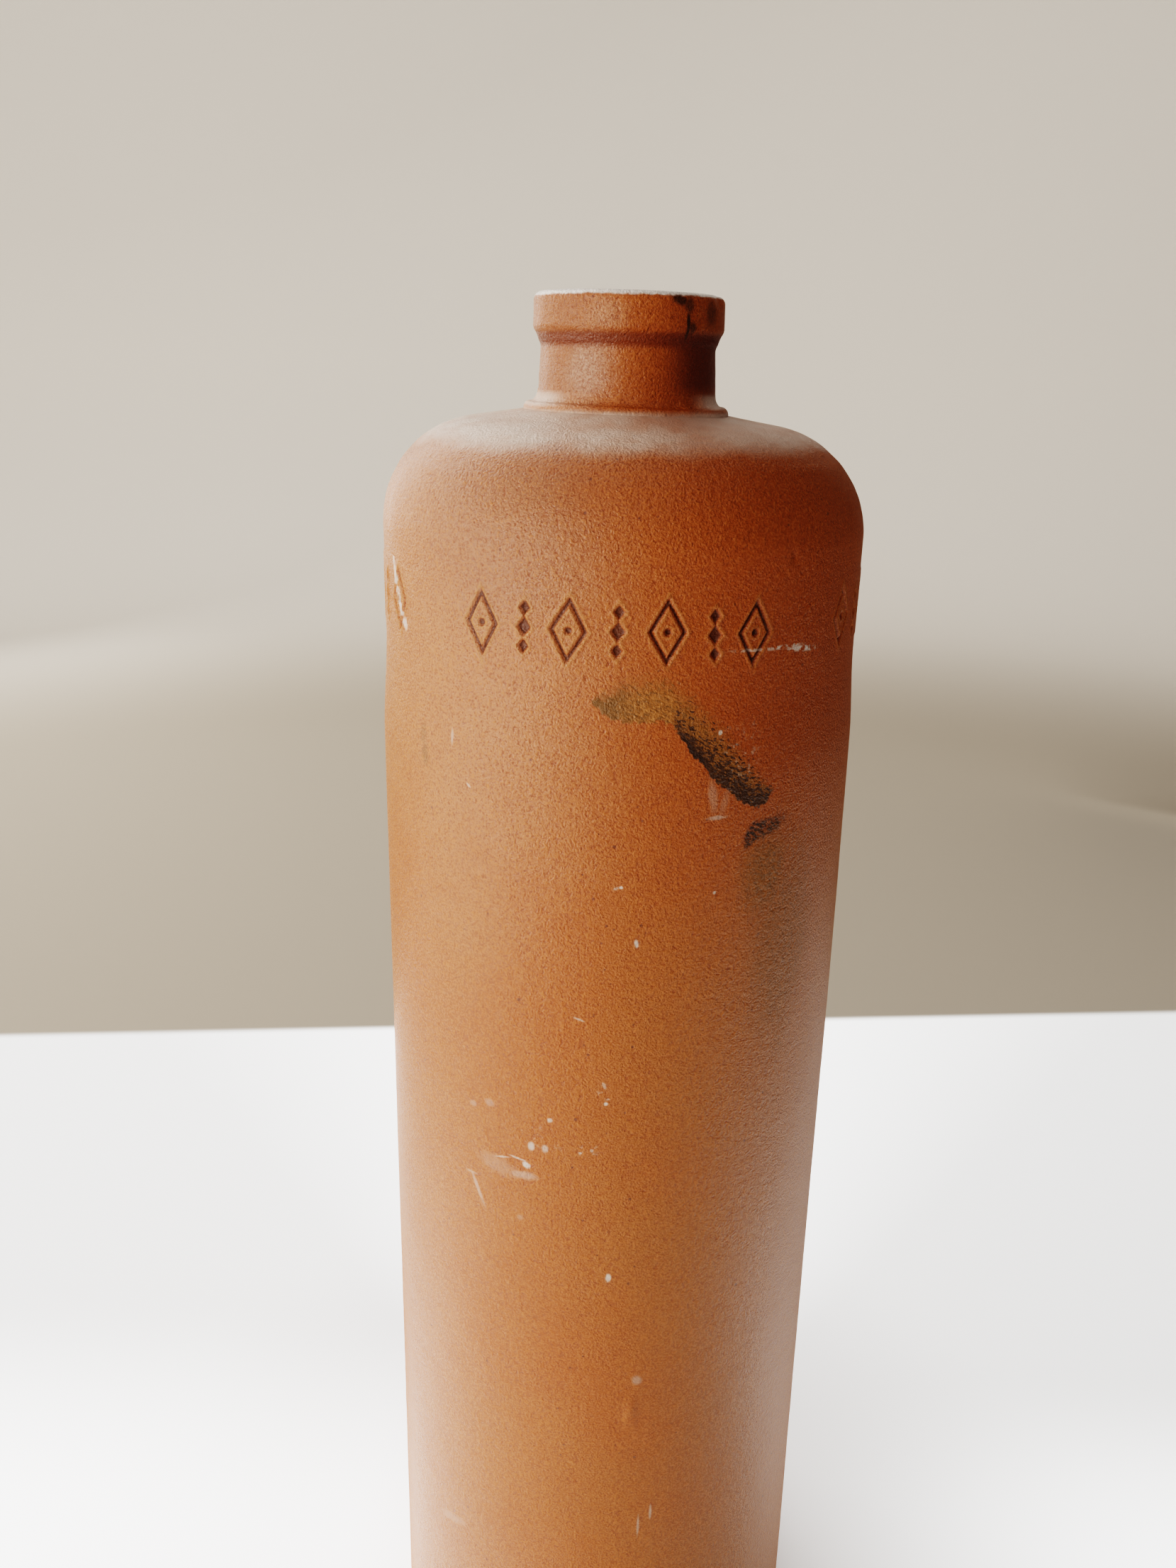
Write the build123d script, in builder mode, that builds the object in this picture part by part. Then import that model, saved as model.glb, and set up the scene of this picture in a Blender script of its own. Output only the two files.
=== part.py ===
from build123d import *
import math
import os

# A wheel-finished salt-glazed stoneware bottle: a tall, nearly cylindrical body,
# a full round shoulder and a short collared neck. It is put together from clay
# members that are luted to each other before firing. Every member is a solid of
# revolution about +Z. The origin is on the table, at the centre of the foot.

# Whole bottle
height = 270.0                    # table to the top of the lip
wall = 5.2                        # clay thickness at the collar and in the shoulder

# Body tube, a taper that swells towards the foot
foot_radius = 41.7                # widest point, just above the foot's rounded edge
foot_edge = 2.8                   # radius of the rounded edge that meets the table
body_radius = 41.05               # where the straight taper ends
taper_top = 198.0
collar_radius = 40.2              # slightly drawn-in band that carries the stamping
collar_bottom = 217.0
body_bore = collar_radius - wall  # inner radius of the tube

# Base disc, let into a rebate in the foot of the tube
disc_radius = 37.2
disc_thickness = 8.0
coil_size = 5.0                   # legs of the coil that is pressed into the corner

# Half-lap joint between the tube and the shoulder
seam_height = 229.2               # where the joint shows outside
lap_radius = 37.6                 # face of the lap inside the wall
spring_height = 233.2             # top of the lap, where the shoulder starts to turn

# Shoulder: a round arc, then a shallow cone up to the neck
shoulder_arc = 17.4
cone_angle = 9.0                  # degrees above level
seat_radius = 16.9                # flat seat for the neck and its bead

# Neck: a tube with a spigot in the shoulder's socket
bore_radius = 9.5                 # takes a cork
spigot_radius = 12.4
spigot_bottom = 245.5
spigot_edge = 1.0                 # rounding at the bottom of the bore
neck_root_radius = 14.6
neck_top_radius = 14.2
bead_top = 254.9
lip_seat = 262.6                  # shelf that the lip ring sits on
mouth_radius = 12.2               # neck outside its rebate, inside the lip ring
mouth_edge = 1.0                  # rounding at the top of the bore

# Bead smoothed over the neck's root
bead_fold_radius = 15.9           # where its convex roll meets its hollow flare
bead_fold_height = 253.0
bead_roll = 1.3
bead_flare = 3.2

# Lip ring
lip_radius = 15.55
lip_shoulder_height = 264.6       # top of the bevel under the lip
lip_edge = 1.5                    # rounding at the outer top edge

# Derived from the dimensions above
turn_centre_x = collar_radius - shoulder_arc
arc_end_angle = 90.0 - cone_angle
slope = math.tan(math.radians(cone_angle))
arc_end_x = turn_centre_x + shoulder_arc * math.cos(math.radians(arc_end_angle))
arc_end_z = spring_height + shoulder_arc * math.sin(math.radians(arc_end_angle))
seat_height = arc_end_z + (arc_end_x - seat_radius) * slope
inner_arc = shoulder_arc - wall
inner_end_x = turn_centre_x + inner_arc * math.cos(math.radians(arc_end_angle))
inner_end_z = spring_height + inner_arc * math.sin(math.radians(arc_end_angle))
socket_bottom = inner_end_z + (inner_end_x - spigot_radius) * slope


def save(piece, name):
    """Label a finished piece and write it to its own STEP file."""
    piece.part.label = name
    export_step(piece.part, f"parts/{name}.step")


def rings(piece, radius):
    """The circular edges of one radius, from the lowest to the highest."""
    circles = piece.edges().filter_by(GeomType.CIRCLE)
    return circles.filter_by(lambda edge: math.isclose(edge.radius, radius)).sort_by(Axis.Z)


os.makedirs("parts", exist_ok=True)

# The flat disc that closes the bottom of the tube
with BuildPart() as base_disc:
    with BuildSketch():
        Circle(disc_radius)
    extrude(amount=disc_thickness)
save(base_disc, "base_disc")

# The coil pressed into the corner between the disc and the wall
with BuildPart() as base_seam_coil:
    with BuildSketch(Plane.XZ):
        with BuildLine():
            corner = (body_bore, disc_thickness)
            wall_end = (body_bore, disc_thickness + coil_size)
            floor_end = (body_bore - coil_size, disc_thickness)
            Line(floor_end, corner)
            Line(corner, wall_end)
            RadiusArc(wall_end, floor_end, coil_size)
        make_face()
    revolve(axis=Axis.Z)
save(base_seam_coil, "base_seam_coil")

# The body tube, rebated below for the disc and lapped above for the shoulder
with BuildPart() as body_tube:
    with BuildSketch(Plane.XZ):
        with BuildLine():
            Line((disc_radius, 0), (foot_radius - foot_edge, 0))
            foot_arc = JernArc(
                start=(foot_radius - foot_edge, 0), tangent=(1, 0), radius=foot_edge, arc_size=90
            )
            taper = Line(foot_arc @ 1, (body_radius, taper_top))
            Spline(
                taper @ 1,
                (collar_radius, collar_bottom),
                tangents=(taper % 1, (0, 1)),
            )
            Polyline(
                (collar_radius, collar_bottom),
                (collar_radius, seam_height),
                (lap_radius, seam_height),
                (lap_radius, spring_height),
                (body_bore, spring_height),
                (body_bore, disc_thickness),
                (disc_radius, disc_thickness),
                (disc_radius, 0),
            )
        make_face()
    revolve(axis=Axis.Z)
save(body_tube, "body_tube")

# The domed shoulder, whose skirt laps over the tube
with BuildPart() as shoulder:
    with BuildSketch(Plane.XZ):
        with BuildLine():
            turn_centre = (turn_centre_x, spring_height)
            Line((collar_radius, seam_height), (collar_radius, spring_height))
            outer_turn = CenterArc(turn_centre, shoulder_arc, 0, arc_end_angle)
            Polyline(
                outer_turn @ 1,
                (seat_radius, seat_height),
                (spigot_radius, seat_height),
                (spigot_radius, socket_bottom),
                (inner_end_x, inner_end_z),
            )
            CenterArc(turn_centre, inner_arc, 0, arc_end_angle)
            Polyline(
                (body_bore, spring_height),
                (lap_radius, spring_height),
                (lap_radius, seam_height),
                (collar_radius, seam_height),
            )
        make_face()
    revolve(axis=Axis.Z)
save(shoulder, "shoulder")

# The neck, bored for a cork, with a spigot below and a rebate for the lip above
with BuildPart() as neck:
    with BuildSketch(Plane.XZ):
        with BuildLine():
            Polyline(
                (bore_radius, spigot_bottom),
                (spigot_radius, spigot_bottom),
                (spigot_radius, seat_height),
                (neck_root_radius, seat_height),
                (neck_root_radius, bead_top),
                (neck_top_radius, lip_seat),
                (mouth_radius, lip_seat),
                (mouth_radius, height),
                (bore_radius, height),
                close=True,
            )
        make_face()
    revolve(axis=Axis.Z)
    fillet(rings(neck, bore_radius)[-1], mouth_edge)
    fillet(rings(neck, bore_radius)[0], spigot_edge)
save(neck, "neck")

# The bead that is smoothed over the joint at the neck's root
with BuildPart() as neck_bead:
    with BuildSketch(Plane.XZ):
        with BuildLine():
            bead_foot = (seat_radius, seat_height)
            bead_fold = (bead_fold_radius, bead_fold_height)
            bead_end = (neck_root_radius, bead_top)
            RadiusArc(bead_foot, bead_fold, -bead_roll)
            RadiusArc(bead_fold, bead_end, bead_flare)
            Polyline(bead_end, (neck_root_radius, seat_height), bead_foot)
        make_face()
    revolve(axis=Axis.Z)
save(neck_bead, "neck_bead")

# The flat-sided ring around the mouth
with BuildPart() as lip_ring:
    with BuildSketch(Plane.XZ):
        with BuildLine():
            Polyline(
                (mouth_radius, lip_seat),
                (neck_top_radius, lip_seat),
                (lip_radius, lip_shoulder_height),
                (lip_radius, height),
                (mouth_radius, height),
                close=True,
            )
        make_face()
    revolve(axis=Axis.Z)
    fillet(rings(lip_ring, lip_radius)[-1], lip_edge)
save(lip_ring, "lip_ring")
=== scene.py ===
import math
import random

import bpy
import numpy as np
from mathutils import Matrix, Vector


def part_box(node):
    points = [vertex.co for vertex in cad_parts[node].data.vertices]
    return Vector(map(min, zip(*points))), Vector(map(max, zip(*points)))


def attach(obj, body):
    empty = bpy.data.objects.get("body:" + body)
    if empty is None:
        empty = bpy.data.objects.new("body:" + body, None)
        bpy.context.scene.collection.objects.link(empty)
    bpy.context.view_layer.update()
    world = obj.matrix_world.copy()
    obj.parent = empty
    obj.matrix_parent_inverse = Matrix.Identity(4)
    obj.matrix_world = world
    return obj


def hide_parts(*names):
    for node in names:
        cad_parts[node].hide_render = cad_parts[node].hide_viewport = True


# The looks of a salt-glazed stoneware bottle. Lengths in this script are in millimetres,
# and are turned into metres where a mesh, a lamp or the camera is made. Angles round the
# bottle start at the front, -Y, and grow towards the right, +X. They are in degrees in the
# tables and in the materials, and in radians where a relief is worked out.

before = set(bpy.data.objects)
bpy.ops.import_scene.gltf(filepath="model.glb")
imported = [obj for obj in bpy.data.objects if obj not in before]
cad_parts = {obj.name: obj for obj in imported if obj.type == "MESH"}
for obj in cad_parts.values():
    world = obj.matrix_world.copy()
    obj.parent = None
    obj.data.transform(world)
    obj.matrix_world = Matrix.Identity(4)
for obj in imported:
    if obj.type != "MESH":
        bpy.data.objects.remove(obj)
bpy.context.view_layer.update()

MM = 0.001
random.seed(7)


# -------- sizes from the frame

def extent(node):
    """Radius, lowest and highest level of a turned CAD node."""
    low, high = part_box(node)
    return high.x / MM, low.z / MM, high.z / MM


FOOT_RADIUS, _, SPRING_HEIGHT = extent("body_tube")
COLLAR_RADIUS, SEAM_HEIGHT, SEAT_HEIGHT = extent("shoulder")
NECK_ROOT_RADIUS, SPIGOT_BOTTOM, TOP = extent("neck")
SEAT_RADIUS, _, BEAD_TOP = extent("neck_bead")
LIP_RADIUS, LIP_SEAT, _ = extent("lip_ring")
DISC_RADIUS, _, DISC_TOP = extent("base_disc")
BODY_BORE, _, _ = extent("base_seam_coil")

# Sizes that no bounding box gives, as in the CAD model
FOOT_EDGE = 2.8          # radius of the foot's rounded edge
BODY_RADIUS = 41.05      # at the taper's top
TAPER_TOP = 198.0
COLLAR_BOTTOM = 217.0    # where the drawn-in band for the stamps begins
LAP_RADIUS = 37.6        # inside the shoulder's skirt
SHOULDER_ARC = 17.4
CONE_ANGLE = 9.0         # slope of the shoulder's top, in degrees
SPIGOT_RADIUS = 12.4     # the neck's spigot in the shoulder's socket
BORE_RADIUS = 9.5
NECK_TOP_RADIUS = 14.2   # under the lip
MOUTH_RADIUS = 12.2      # inside the lip ring

# The potter's irregularities
LEAN = -0.3              # how far the top stands to the left of the foot
TILT = 0.016             # fall of the shoulder towards the right, per unit of width
LIP_TILT = 0.008         # fall of the lip, in the same way
CROWN = 0.25             # how far the lip's top stays under the CAD model's

# How far each skin stays inside the CAD model's, so that its relief doesn't pass the box
WALL_INSET = 0.08
NECK_INSET = 0.05
ROLL_INSET = 0.1         # the bead and the lip

# The soft hollow under the lip: the neck's top flares out into the lip's bevel
HOLLOW_RADIUS = 2.0
HOLLOW_TURN = 30.0
FLARE_RADIUS = NECK_TOP_RADIUS + HOLLOW_RADIUS * (1.0 - math.cos(math.radians(HOLLOW_TURN)))


def add(name, data):
    """A new object in the scene: a mesh, a lamp or the camera."""
    piece = bpy.data.objects.new(name, data)
    bpy.context.scene.collection.objects.link(piece)
    return piece


# -------- outlines

def line(start, end, step):
    """Points from start to end, about a step apart, both ends included."""
    count = max(1, round(math.dist(start, end) / step))
    return [
        (start[0] + (end[0] - start[0]) * k / count, start[1] + (end[1] - start[1]) * k / count)
        for k in range(count + 1)
    ]


def upright(radius, start, end, step):
    """Points of a straight run up or down at one radius."""
    return line((radius, start), (radius, end), step)


def arc(centre, radius, begin, finish, step):
    """Points on an arc between two angles, in degrees."""
    count = max(2, round(abs(math.radians(finish - begin)) * radius / step))
    angles = [math.radians(begin + (finish - begin) * k / count) for k in range(count + 1)]
    return [(centre[0] + radius * math.cos(a), centre[1] + radius * math.sin(a)) for a in angles]


def smooth(value, low, high):
    """0 below low, 1 above high, and a smooth rise between them."""
    t = np.clip((value - low) / (high - low), 0.0, 1.0)
    return t * t * (3.0 - 2.0 * t)


def body_radius(level):
    """Outer radius of the tube, from the foot's rounded edge to the collar."""
    taper = FOOT_RADIUS + (BODY_RADIUS - FOOT_RADIUS) * level / TAPER_TOP
    return taper + (COLLAR_RADIUS - taper) * smooth(level, TAPER_TOP, COLLAR_BOTTOM)


# -------- relief of the outer skin

class Waves:
    """A smooth random field round the bottle: a count of waves added up.

    Each wave has a whole number of turns, so that the field closes, and a pitch in height.
    """

    def __init__(self, seed, count, turns, pitch):
        source = np.random.default_rng(seed)
        self.turns = source.integers(turns[0], turns[1] + 1, count)
        self.rate = 2.0 * math.pi / source.uniform(pitch[0], pitch[1], count)
        self.rate *= source.choice([-1.0, 1.0], count)
        self.phase = source.uniform(0.0, 2.0 * math.pi, count)

    def at(self, angle, level):
        total = np.zeros_like(angle)
        for turns, rate, phase in zip(self.turns, self.rate, self.phase):
            total += np.cos(turns * angle + rate * level + phase)
        return total / math.sqrt(len(self.turns))


HAND = Waves(11, 9, (1, 4), (60.0, 240.0))       # broad unevenness of the wall
DIMPLES = Waves(12, 24, (6, 26), (9.0, 40.0))    # small soft dents
RINGS = Waves(13, 14, (0, 1), (2.1, 7.5))        # turning marks
SAG = Waves(14, 8, (2, 9), (30.0, 90.0))         # unevenness of the bead and the lip

STAMP_LEVEL = 223.0       # middle of the stamped band
STAMP_GROUPS = 4
STAMPS_IN_GROUP = 7
STAMP_PITCH = 10.0        # degrees between two stamps
STAMP_STROKE = 0.22       # half the width of a stroke
STAMP_DEPTH = 0.55
STAMP_REACH = 7.0         # nothing of a stamp is further from its middle, in degrees or mm
GROOVE_INNER = 0.16       # how far a groove's side reaches into the stroke, and out of it
GROOVE_OUTER = 0.22
BURR_OFFSET, BURR_WIDTH, BURR_RISE = 0.38, 0.22, 0.12


def stamp_marks():
    """Angle, level, tilt, depth and kind of every stamp, pressed a little unevenly by hand."""
    marks = []
    for group in range(STAMP_GROUPS):
        for k in range(STAMPS_IN_GROUP):
            angle = group * 360.0 / STAMP_GROUPS + (k - (STAMPS_IN_GROUP - 1) / 2) * STAMP_PITCH
            marks.append((
                math.radians(angle + random.uniform(-0.35, 0.35)),
                STAMP_LEVEL + random.uniform(-0.3, 0.3),
                math.radians(random.uniform(-3.0, 3.0)),
                STAMP_DEPTH * random.uniform(0.65, 1.1),
                "lozenge" if k % 2 == 0 else "pips",
            ))
    return marks


def lozenge_distance(across, up):
    """Distance to an upright lozenge's outline or the pip in its middle."""
    half_width, half_height, pip_radius = 2.5, 4.3, 0.25
    side = math.hypot(half_width, half_height)
    edge = np.abs(np.abs(across) / half_width + np.abs(up) / half_height - 1.0)
    outline = edge * half_width * half_height / side
    return np.minimum(outline, np.hypot(across, up) - pip_radius)


def pips_distance(across, up):
    """Distance to a column of three small lozenge-shaped pips."""
    far_away, slimness, slope = 99.0, 0.75, 0.8
    nearest = np.full_like(across, far_away)
    for level, size in ((-2.8, 0.45), (0.0, 0.7), (2.8, 0.45)):
        pip = (np.abs(across) + slimness * np.abs(up - level)) - size
        nearest = np.minimum(nearest, pip * slope)
    return nearest


MARKS = stamp_marks()
MARK_SHAPES = {"lozenge": lozenge_distance, "pips": pips_distance}


def stamping(angle, level):
    """Relief of the stamped band, and its mask: above 0 in a groove, below 0 on its burr."""
    relief = np.zeros_like(angle)
    inside = np.zeros_like(angle)
    for centre, middle, tilt, depth, kind in MARKS:
        turn = np.mod(angle - centre + math.pi, 2.0 * math.pi) - math.pi
        near = np.abs(turn) < math.radians(STAMP_REACH)
        near &= np.abs(level - middle) < STAMP_REACH
        if not near.any():
            continue
        across = turn[near] * COLLAR_RADIUS
        up = level[near] - middle
        across, up = (
            across * math.cos(tilt) + up * math.sin(tilt),
            up * math.cos(tilt) - across * math.sin(tilt),
        )
        distance = MARK_SHAPES[kind](across, up)
        groove = 1.0 - smooth(distance, STAMP_STROKE - GROOVE_INNER, STAMP_STROKE + GROOVE_OUTER)
        burr = np.exp(-((distance - STAMP_STROKE - BURR_OFFSET) / BURR_WIDTH) ** 2)
        burr *= 1.0 - groove
        relief[near] += BURR_RISE * burr - depth * groove
        inside[near] += groove - burr
    return relief, inside


# Raised tears of glaze on the lower body: angle, level, half width, half height, rise
TEARS = (
    (8.3, 83.0, 1.0, 2.6, 0.42),
    (9.6, 90.0, 0.7, 1.6, 0.14),
    (14.5, 59.3, 0.35, 1.5, 0.16),
    (11.4, 56.6, 0.3, 2.2, 0.12),
    (-141.0, 120.0, 0.9, 2.4, 0.35),
    (121.0, 64.0, 0.8, 3.0, 0.30),
)
# Pits where a grain of grit has popped out: angle, level, radius, depth
PITS = (
    (39.0, 233.4, 0.55, 0.45),
    (-8.0, 231.0, 0.35, 0.25),
    (155.0, 181.0, 0.7, 0.4),
    (-97.0, 88.0, 0.6, 0.4),
)


def spot(angle, level, at, height, half_width, half_height, radius):
    """A round bump of height 1 at a place, with soft edges."""
    turn = np.mod(angle - math.radians(at) + math.pi, 2.0 * math.pi) - math.pi
    return np.exp(-(turn * radius / half_width) ** 2 - ((level - height) / half_height) ** 2)


def wall_relief(angle, level):
    """Relief of the body and the shoulder, and the stamp mask."""
    relief = 0.05 * HAND.at(angle, level) + 0.012 * DIMPLES.at(angle, level)
    relief += (0.010 + 0.016 * smooth(level, 232.0, 244.0)) * RINGS.at(angle, level)
    for at, height, half_width, half_height, rise in TEARS:
        relief += rise * spot(angle, level, at, height, half_width, half_height, COLLAR_RADIUS)
    for at, height, size, depth in PITS:
        relief -= depth * spot(angle, level, at, height, size, size, COLLAR_RADIUS)
    stamped, inside = stamping(angle, level)
    fade = smooth(level, 0.5, 12.0)
    return relief * fade - WALL_INSET + stamped, inside


def neck_relief(angle, level):
    """Relief of the neck: turning marks and a little unevenness."""
    relief = 0.020 * RINGS.at(angle, level) + 0.03 * SAG.at(angle, level) - NECK_INSET
    return relief * (1.0 - smooth(level, LIP_SEAT - 1.2, LIP_SEAT)), np.zeros_like(angle)


def bead_relief(angle, level):
    """Relief of the bead: a coil smoothed down by a finger, fuller in some places."""
    relief = 0.16 * SAG.at(angle, level * 0.2) + 0.05 * DIMPLES.at(angle, level)
    return relief - ROLL_INSET, np.zeros_like(angle)


def lip_relief(angle, level):
    """Relief of the lip: slightly wavy, with two small worn places on the edge."""
    relief = 0.05 * SAG.at(angle, level * 0.4) + 0.012 * RINGS.at(angle, level * 0.7)
    for at, size, depth in ((68.0, 1.6, 0.35), (-157.0, 2.2, 0.5)):
        relief -= depth * spot(angle, level, at, TOP - 0.8, size, 1.0, LIP_RADIUS)
    fade = smooth(level, LIP_SEAT, LIP_SEAT + 1.0)
    return (relief - ROLL_INSET) * fade, np.zeros_like(angle)


def disc_relief(angle, radius):
    """Relief of the underside: slightly hollow, with the curved marks of the cutting wire."""
    x, y = radius * np.sin(angle), -radius * np.cos(angle)
    hollow_depth, wire_pitch, wire_x, wire_y = 0.35, 2.3, -70.0, -28.0
    hollow = hollow_depth * (1.0 - smooth(radius, 8.0, DISC_RADIUS - 1.0))
    swing = np.hypot(x - wire_x, y - wire_y)
    marks = 0.05 * np.abs(np.sin(swing * math.pi / wire_pitch)) + 0.03 * np.sin(swing * 2.9) + 0.03
    return -(hollow + marks * smooth(DISC_RADIUS - radius, 0.2, 2.5))


# -------- turned meshes

SAME_POINT = 1e-4         # points of an outline closer than this are one
ON_AXIS = 1e-6            # a radius smaller than this is a point on the axis
NO_LENGTH = 1e-9          # keeps a division from failing where two points coincide
SHARP_ANGLE = 55.0        # edges sharper than this aren't shaded smooth


def settle(points):
    """The lean of the whole bottle and the fall of its shoulder and lip, level by level."""
    x, z = points[:, 0].copy(), points[:, 2].copy()
    points[:, 0] += LEAN * smooth(z, 0.0, 220.0)
    tilt = TILT * smooth(z, 196.0, 238.0) - (TILT - LIP_TILT) * smooth(z, 250.0, 262.0)
    points[:, 2] -= tilt * x + CROWN * smooth(z, 255.0, 264.0)
    return points


def turned(name, runs, segments, relief=None):
    """A closed mesh turned about Z from runs of points, the outer skin first to last.

    A run is (points, skin, detail): skin is 1 where the relief applies and 0 where it
    doesn't, and detail multiplies the number of segments. Runs follow each other round
    the piece's section, and the section closes on itself unless it meets the axis.
    """
    outline = []
    for points, skin, detail in runs:
        for r, z in points:
            if outline and math.dist(outline[-1][:2], (r, z)) < SAME_POINT:
                continue
            outline.append((r, z, skin, detail))
    open_section = outline[0][0] < ON_AXIS
    if not open_section and math.dist(outline[0][:2], outline[-1][:2]) < SAME_POINT:
        outline.pop()

    radii, levels, skins = (np.array([p[k] for p in outline]) for k in range(3))
    here = np.arange(len(outline))
    ahead, behind = np.roll(here, -1), np.roll(here, 1)
    if open_section:
        ahead[-1], behind[0] = here[-1], here[0]
    # the skin keeps its own direction up to its ends, so that two pieces meet without a gap
    ahead = np.where((skins > 0.0) & (skins[ahead] == 0.0), here, ahead)
    behind = np.where((skins > 0.0) & (skins[behind] == 0.0), here, behind)
    along_r, along_z = radii[ahead] - radii[behind], levels[ahead] - levels[behind]
    length = np.maximum(np.hypot(along_r, along_z), NO_LENGTH)
    normal_r, normal_z = along_z / length, -along_r / length

    vertices, masks, starts, counts = [], [], [], []
    total = 0
    for k, (r, z, skin, detail) in enumerate(outline):
        count = 1 if r < ON_AXIS else segments * detail
        angle = np.arange(count) * 2.0 * math.pi / count
        out = np.zeros(count)
        mask = np.zeros(count)
        if relief is not None and skin > 0.0:
            out, mask = relief(angle, np.full(count, z))
            out = out * skin
        ring_r = r + out * normal_r[k]
        ring_z = z + out * normal_z[k]
        vertices.append(np.stack([ring_r * np.sin(angle), -ring_r * np.cos(angle), ring_z], 1))
        masks.append(mask)
        starts.append(total)
        counts.append(count)
        total += count

    faces = []
    rings = len(outline)
    for k in range(rings - 1 if open_section else rings):
        faces += strip(starts[k], counts[k], starts[(k + 1) % rings], counts[(k + 1) % rings])

    mesh = bpy.data.meshes.new(name)
    co = settle(np.concatenate(vertices)) * MM
    mesh.from_pydata(co.tolist(), [], faces)
    stamp = mesh.attributes.new("stamp", "FLOAT", "POINT")
    stamp.data.foreach_set("value", np.concatenate(masks).astype(np.float32))
    mesh.validate()
    mesh.shade_smooth()
    mesh.set_sharp_from_angle(angle=math.radians(SHARP_ANGLE))
    return add(name, mesh)


def strip(low, low_count, high, high_count):
    """Faces between two rings whose counts are equal, or one a multiple of the other, or 1."""
    if low_count == 1:
        return [(low, high + (j + 1) % high_count, high + j) for j in range(high_count)]
    if high_count == 1:
        return [(low + j, low + (j + 1) % low_count, high) for j in range(low_count)]
    faces = []
    coarse = min(low_count, high_count)
    low_step, high_step = low_count // coarse, high_count // coarse
    for j in range(coarse):
        bottom = [low + (j * low_step + i) % low_count for i in range(low_step + 1)]
        top = [high + (j * high_step + i) % high_count for i in range(high_step + 1)]
        faces.append(tuple(bottom + top[::-1]))
    return faces


# -------- the pieces

BODY_SEGMENTS = 480
NECK_SEGMENTS = 256
DISC_SEGMENTS = 240


def body_tube():
    """The tube, with a finer mesh where the raised tears and the stamped band are."""
    low_tears, high_tears = (50.0, 64.0), (76.0, 94.0)
    fine_low = STAMP_LEVEL - 5.8

    def wall(low, high, step):
        return [(float(body_radius(z)), z) for _, z in upright(0.0, low, high, step)]

    foot = FOOT_RADIUS - FOOT_EDGE
    runs = [
        (line((DISC_RADIUS, 0.0), (foot, 0.0), 0.8), 0.0, 1),
        (arc((foot, FOOT_EDGE), FOOT_EDGE, -90.0, 0.0, 0.5), 1.0, 1),
        (wall(FOOT_EDGE, low_tears[0], 2.2), 1.0, 1),
        (wall(*low_tears, 1.0), 1.0, 1),
        (wall(low_tears[1], high_tears[0], 2.0), 1.0, 1),
        (wall(*high_tears, 0.75), 1.0, 1),
        (wall(high_tears[1], fine_low, 2.2), 1.0, 1),
        (wall(fine_low + 0.6, SEAM_HEIGHT, 0.25), 1.0, 2),
        (upright(LAP_RADIUS, SEAM_HEIGHT, SPRING_HEIGHT, 9.0), 0.0, 1),
        (upright(BODY_BORE, SPRING_HEIGHT, DISC_TOP, 24.0), 0.0, 1),
        (upright(DISC_RADIUS, DISC_TOP, 0.0, 9.0), 0.0, 1),
    ]
    return turned("stoneware_body", runs, BODY_SEGMENTS, wall_relief)


def shoulder():
    """The dome from the seam to the neck's seat."""
    centre = (COLLAR_RADIUS - SHOULDER_ARC, SPRING_HEIGHT)
    turn = 90.0 - CONE_ANGLE
    thickness = COLLAR_RADIUS - BODY_BORE
    outer = arc(centre, SHOULDER_ARC, 0.0, turn, 0.55)
    inner = arc(centre, SHOULDER_ARC - thickness, turn, 0.0, 1.5)
    slope = math.tan(math.radians(CONE_ANGLE))
    socket_bottom = inner[0][1] + (inner[0][0] - SPIGOT_RADIUS) * slope
    runs = [
        (upright(COLLAR_RADIUS, SEAM_HEIGHT, SPRING_HEIGHT, 0.5), 1.0, 1),
        (outer, 1.0, 1),
        (line(outer[-1], (SEAT_RADIUS, SEAT_HEIGHT), 0.6), 1.0, 1),
        (line((SEAT_RADIUS - 0.6, SEAT_HEIGHT), (SPIGOT_RADIUS, SEAT_HEIGHT), 3.0), 0.0, 1),
        (upright(SPIGOT_RADIUS, SEAT_HEIGHT, socket_bottom, 3.0), 0.0, 1),
        (inner, 0.0, 1),
        (line((BODY_BORE, SPRING_HEIGHT), (LAP_RADIUS, SPRING_HEIGHT), 3.0), 0.0, 1),
        (upright(LAP_RADIUS, SPRING_HEIGHT, SEAM_HEIGHT, 5.0), 0.0, 1),
    ]
    return turned("stoneware_shoulder", runs, BODY_SEGMENTS, wall_relief)


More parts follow.
